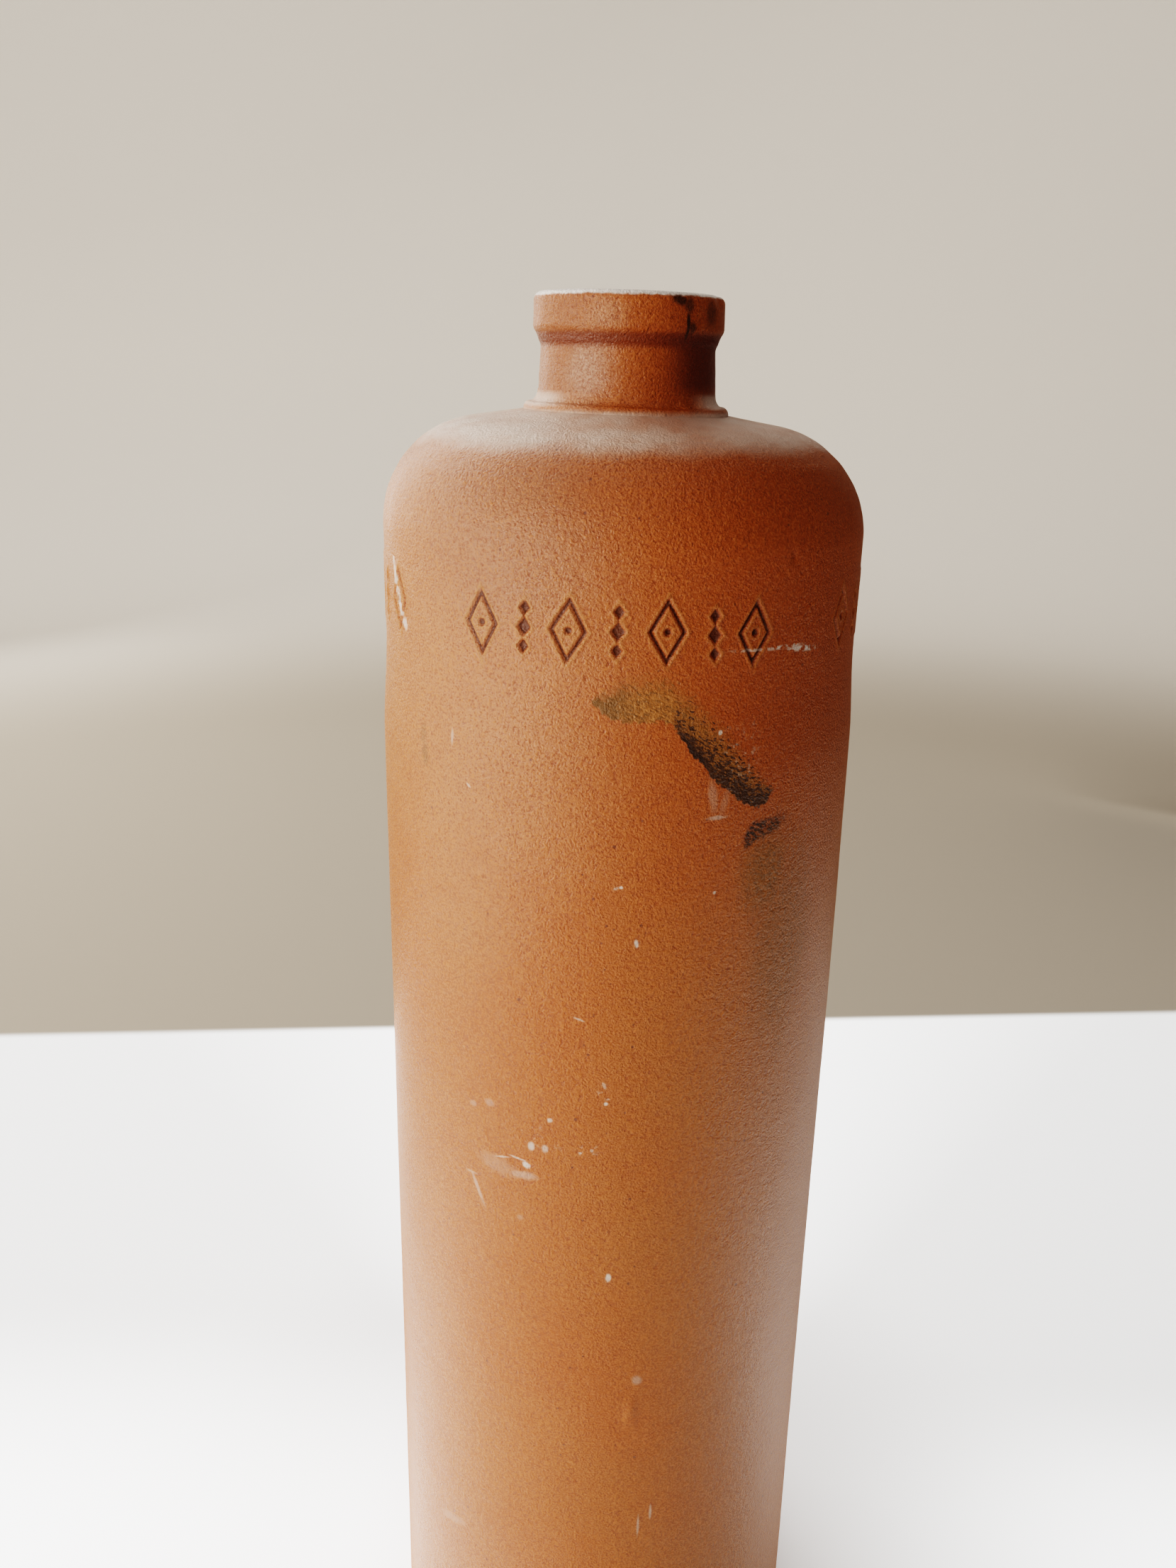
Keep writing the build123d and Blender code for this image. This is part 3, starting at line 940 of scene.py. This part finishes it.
def shoulder_glaze():
    """The glaze of the shoulder and the neck: a painted reflection on the shoulder's top, painted
    glints on the bead, the neck and the lip, a dark right side of the neck (partly burnt glaze,
    partly painted shade), painted shade under the lip, dark stains and a worn rim with a painted
    highlight.
    """
    g = Graph("salt_glaze_top")
    colour, grain = glaze_ground(g)

    # a pale painted reflection of the bright room lies on the shoulder's top and on the bead, with a
    # streaky edge
    ripple = g.calc("MULTIPLY_ADD", grain, 0.7, g.level)
    ripple = g.calc("MULTIPLY_ADD", g.wander(7.0), 3.0, ripple)
    side = g.curve(g.angle, [
        (-180.0, 0.8), (-100.0, 1.0), (-60.0, 1.0), (0.0, 0.80), (22.0, 0.52),
        (50.0, 0.72), (110.0, 0.8), (180.0, 0.8),
    ])
    streaks = g.fit(g.strokes(9.0, 1.3, 2.0), 0.36, 0.60, 0.72, 1.0)
    dome = g.times(g.fit(ripple, 246.3, 249.2), g.fit(g.level, 252.6, 251.6))
    painted_sheen_top = g.times(dome, side, streaks, 0.92)
    # on the bead it is painted glints, strongest at the left and the right
    sides = g.calc("COSINE", g.times(g.calc("SUBTRACT", g.angle, 3.0), math.pi / 90.0))
    bead = g.times(g.fit(g.level, 252.2, 253.0), g.fit(g.level, 255.2, 254.3))
    painted_glint_bead = g.times(bead, g.fit(sides, 0.3, -0.6), 0.65)
    colour = g.mix(g.most(painted_sheen_top, painted_glint_bead), colour, PAINTED_SHEEN)

    # the neck is browner than the body towards its left; painted glints, milky patches, lie at the
    # left of the neck and of the lip
    top = g.fit(g.level, 253.0, 256.0)
    colour = g.mix(g.times(top, g.fit(g.angle, 0.0, -40.0, 0.0, 0.45)), colour, BROWN)
    milky = g.blots((
        (-26.0, 258.4, 9.5, 4.2, 6.0, 0.30), (-13.0, 266.2, 7.0, 2.2, 0.0, 0.16),
    ), 0.85, 0.6, 1.6)
    colour = g.mix(g.times(milky, g.fit(grain, 0.40, 0.58, 0.45, 1.0)), colour, PAINTED_SHEEN)

    # darker: the neck's right side (partly burnt glaze, partly painted shade), the hollow under the
    # lip (painted shade) and the burnt stains on the lip
    right = g.times(g.fit(g.angle, 18.0, 48.0), g.fit(g.angle, 115.0, 85.0))
    height = g.times(g.fit(g.level, 253.5, 256.5), g.fit(g.level, 264.2, 262.4))
    colour = g.mix(g.times(right, height, 0.85), colour, MAROON)
    # painted shade in the hollow under the lip, where the bevel faces down
    above = g.fit(g.level, LIP_SEAT - 1.6, LIP_SEAT - 0.2)
    below = g.fit(g.level, LIP_SEAT + 1.6, LIP_SEAT + 0.7)
    colour = g.mix(g.times(above, below, 0.72), colour, MAROON)
    stain = g.blots((
        (29.0, 268.5, 3.8, 0.7, -4.0, 0.9), (36.0, 267.8, 2.2, 1.1, 0.0, 0.7),
        (35.5, 265.0, 0.9, 1.9, 6.0, 1.0), (39.0, 264.6, 1.8, 0.8, 0.0, 0.8),
        (56.0, 266.6, 3.8, 1.8, 0.0, 0.55),
    ), 0.5, 0.5, 1.6)
    colour = g.mix(g.times(stain, 0.92), colour, SOOT)

    # the lip's rim is pale: partly worn to clay, partly a painted highlight on its top edge
    worn = g.fit(g.calc("MULTIPLY_ADD", g.wander(1.6), 0.8, g.level), 268.95, 269.35)
    colour = g.mix(g.times(worn, 0.9), colour, WORN_AND_LIT_RIM)
    g.plug(g.skin.inputs["Base Color"], colour)
    glaze_surface(g, grain, g.times(g.most(painted_sheen_top, painted_glint_bead), 0.7))
    return g.material


def bare_clay():
    """Unglazed fired clay: sandy, dull, with darker smudges."""
    g = Graph("bare_clay")
    clouds = g.noise(14.0, 3.0, 0.6)
    grain = g.noise(0.5, 3.0, 0.7)
    colour = g.mix(g.fit(clouds, 0.35, 0.70), CLAY, OLIVE)
    colour = g.mix(g.times(g.fit(grain, 0.50, 0.72), 0.35), colour, UMBER)
    g.plug(g.skin.inputs["Base Color"], colour)
    g.plug(g.skin.inputs["Roughness"], g.calc("MULTIPLY_ADD", grain, 0.2, 0.72))
    g.bump(grain, 0.12)
    return g.material


def dress(piece, material):
    """Give a piece one material."""
    piece.data.materials.clear()
    piece.data.materials.append(material)


BODY_GLAZE, TOP_GLAZE, BARE_CLAY = body_glaze(), shoulder_glaze(), bare_clay()
dress(PIECES["body_tube"], BODY_GLAZE)
for node in ("shoulder", "neck", "neck_bead", "lip_ring"):
    dress(PIECES[node], TOP_GLAZE)
dress(PIECES["base_disc"], BARE_CLAY)
dress(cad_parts["base_seam_coil"], BARE_CLAY)


# -------- stage, light and camera

STAGE_RADIUS = 1300.0
STAGE_SWEEP = 260.0       # radius of the curve from floor to wall
STAGE_SEGMENTS = 96
WALL_HEIGHT = 1500.0
BLACK = (0.0, 0.0, 0.0)
FLOOR = (0.86, 0.86, 0.86)
FULL_GLOW = 4.0           # the floor's glow is mixed as a share of this
# The colour beyond the floor's edge and of the wall itself, and the light they give off
PAINT_LOW, PAINT_HIGH = (0.34, 0.30, 0.25), (0.57, 0.53, 0.48)
HAZE_LOW, HAZE_HIGH = (0.095, 0.078, 0.060), (0.26, 0.24, 0.215)


def stage():
    """A round pale floor that curves up into a plain pale wall all the way round.

    The floor is white up to an edge behind the bottle, and has the wall's colour beyond it.
    Both give off a little light, which stands for the room's daylight.
    """
    inner, count = STAGE_RADIUS - STAGE_SWEEP, STAGE_SEGMENTS
    points = line((0.0, 0.0), (inner, 0.0), 120.0)
    points += arc((inner, STAGE_SWEEP), STAGE_SWEEP, -90.0, 0.0, 30.0)[1:]
    points += line((STAGE_RADIUS, STAGE_SWEEP), (STAGE_RADIUS, WALL_HEIGHT), 300.0)[1:]
    vertices, faces = [], []
    for r, z in points:
        for j in range(count):
            a = 2.0 * math.pi * j / count
            vertices.append((r * math.sin(a) * MM, -r * math.cos(a) * MM, z * MM))
    for k in range(len(points) - 1):
        faces += strip(k * count, count, (k + 1) * count, count)
    mesh = bpy.data.meshes.new("stage_sweep")
    mesh.from_pydata(vertices, [], faces)
    mesh.shade_smooth()

    g = Graph("stage_paint")
    reach = g.length(g.x, g.y)
    edge = g.calc("MULTIPLY_ADD", g.x, -0.11, g.y)
    far = g.most(g.fit(edge, 236.0, 242.0), g.fit(reach, 390.0, 520.0))
    # the floor's glow, angle by angle round the bottle
    glow = g.curve(g.angle, [
        (-180.0, 1.7), (-140.0, 0.65), (-105.0, 0.55), (-80.0, 0.45), (-55.0, 0.45), (-30.0, 0.75),
        (0.0, 0.10), (50.0, 0.22), (100.0, 0.50), (140.0, 0.62), (180.0, 1.7),
    ])
    glow = g.times(glow, g.fit(reach, 60.0, 130.0, 0.62, 1.0))
    # it is stronger beside the bottle, at the left and further out at the right
    bright = g.times(g.fit(g.x, 0.0, -60.0), g.fit(g.y, 75.0, -5.0, 0.0, 1.15))
    lit = g.times(g.fit(g.x, 30.0, 150.0, 0.0, 0.9), g.fit(g.y, 60.0, -5.0))
    bright = g.times(g.most(bright, lit), g.fit(g.y, -60.0, -15.0), g.fit(reach, 300.0, 210.0))
    # and much weaker at the far right
    beyond = g.times(g.fit(g.x, 205.0, 260.0), g.fit(g.y, 200.0, 140.0))
    glow = g.calc("ADD", g.times(glow, g.calc("MULTIPLY_ADD", beyond, -0.9, 1.0)), bright)
    pool = g.mix(g.calc("DIVIDE", glow, FULL_GLOW), BLACK, (FULL_GLOW, FULL_GLOW, FULL_GLOW))
    # the wall is paler than the floor before it, and its light weaker towards the right
    wall = g.fit(reach, 700.0, 1250.0)
    share = g.fit(g.x, -900.0, 800.0, 1.06, 0.74)
    haze = g.mix(share, BLACK, g.mix(wall, HAZE_LOW, HAZE_HIGH))
    paint = g.mix(wall, PAINT_LOW, PAINT_HIGH)
    g.plug(g.skin.inputs["Base Color"], g.mix(far, FLOOR, paint))
    g.plug(g.skin.inputs["Emission Color"], g.mix(far, pool, haze))
    g.skin.inputs["Emission Strength"].default_value = 1.0
    g.skin.inputs["Roughness"].default_value = 0.85
    mesh.materials.append(g.material)
    return add("stage_sweep", mesh)


stage()


LAMP_COLOUR = (1.0, 0.99, 0.98)
SKY_COLOUR = (0.98, 0.97, 0.95, 1.0)
SKY_STRENGTH = 0.02


def softbox(name, at, aim, size, power):
    """A rectangular area lamp at a place, aimed at another, both in millimetres."""
    data = bpy.data.lights.new(name, "AREA")
    data.shape = "RECTANGLE"
    data.size, data.size_y = size[0] * MM, size[1] * MM
    data.energy = power
    data.color = LAMP_COLOUR
    lamp = add(name, data)
    place, target = Vector(at) * MM, Vector(aim) * MM
    turn = (target - place).to_track_quat("-Z", "Y").to_matrix().to_4x4()
    lamp.matrix_world = Matrix.Translation(place) @ turn
    lamp.visible_camera = False


LAMPS = (
    # name, place, aim level, size, power
    ("window_pane", (-760.0, -495.0, 260.0), 200.0, (420.0, 480.0), 2.9),
    ("window_sill", (-620.0, -640.0, 160.0), 200.0, (420.0, 300.0), 1.15),
    ("window_top", (-300.0, -700.0, 800.0), 200.0, (600.0, 500.0), 0.55),
    ("window_far", (-890.0, 155.0, 400.0), 150.0, (700.0, 760.0), 1.45),
    ("window_back", (-640.0, 640.0, 450.0), 150.0, (700.0, 760.0), 2.2),
    ("ceiling_back", (-450.0, 620.0, 950.0), 250.0, (900.0, 700.0), 3.0),
    ("ceiling", (-100.0, -100.0, 1200.0), 250.0, (900.0, 900.0), 2.0),
    ("fill", (540.0, 60.0, 300.0), 210.0, (400.0, 400.0), 0.24),
)
for lamp_name, lamp_place, aim_level, lamp_size, power in LAMPS:
    softbox(lamp_name, lamp_place, (0.0, 0.0, aim_level), lamp_size, power)
# the fill only lifts the shaded side, and isn't mirrored in the glaze
bpy.data.objects["fill"].visible_glossy = False


FLAG_RADIUS = 620.0
FLAG_BEGIN, FLAG_SPAN = 28.0, 124.0       # degrees
FLAG_LEVELS = (20.0, 900.0)
FLAG_CLOTH = (0.07, 0.07, 0.07)


def flag():
    """A dark curtain at the right that the camera doesn't see, to keep that side in shade."""
    vertices, faces = [], []
    count = 24
    for z in FLAG_LEVELS:
        for j in range(count + 1):
            a = math.radians(FLAG_BEGIN + FLAG_SPAN * j / count)
            x, y = FLAG_RADIUS * math.sin(a), -FLAG_RADIUS * math.cos(a)
            vertices.append((x * MM, y * MM, z * MM))
    for j in range(count):
        faces.append((j, j + 1, count + 2 + j, count + 1 + j))
    mesh = bpy.data.meshes.new("stage_flag")
    mesh.from_pydata(vertices, [], faces)
    g = Graph("stage_flag_cloth")
    g.plug(g.skin.inputs["Base Color"], FLAG_CLOTH)
    g.skin.inputs["Roughness"].default_value = 0.9
    mesh.materials.append(g.material)
    piece = add("stage_flag", mesh)
    piece.visible_camera = False
    return piece


flag()

world = bpy.data.worlds.new("soft_sky")
bpy.context.scene.world = world
world.use_nodes = True
sky = world.node_tree.nodes["Background"]
sky.inputs["Color"].default_value = SKY_COLOUR
sky.inputs["Strength"].default_value = SKY_STRENGTH

CAMERA_PLACE = (0.3, -211.8, 259.0)
CAMERA_PITCH = 18.87      # degrees below level
CAMERA_YAW = 1.485        # degrees to the left
CAMERA_ROLL = 1.304
LENS = 28.19              # on a sensor as long as SENSOR
SENSOR = 36.0


def camera():
    """The camera, close above the bottle's shoulder and looking down."""
    data = bpy.data.cameras.new("camera")
    data.sensor_width = SENSOR
    data.sensor_fit = "AUTO"
    data.lens = LENS
    data.clip_start = 0.01
    piece = add("camera", data)
    turn = Matrix.Rotation(math.radians(CAMERA_YAW), 4, "Z")
    nod = Matrix.Rotation(math.radians(90.0 - CAMERA_PITCH), 4, "X")
    roll = Matrix.Rotation(math.radians(CAMERA_ROLL), 4, "Z")
    piece.matrix_world = Matrix.Translation(Vector(CAMERA_PLACE) * MM) @ turn @ nod @ roll
    bpy.context.scene.camera = piece


camera()
bpy.context.scene.view_settings.view_transform = "Filmic"
bpy.context.scene.view_settings.look = "Very High Contrast"
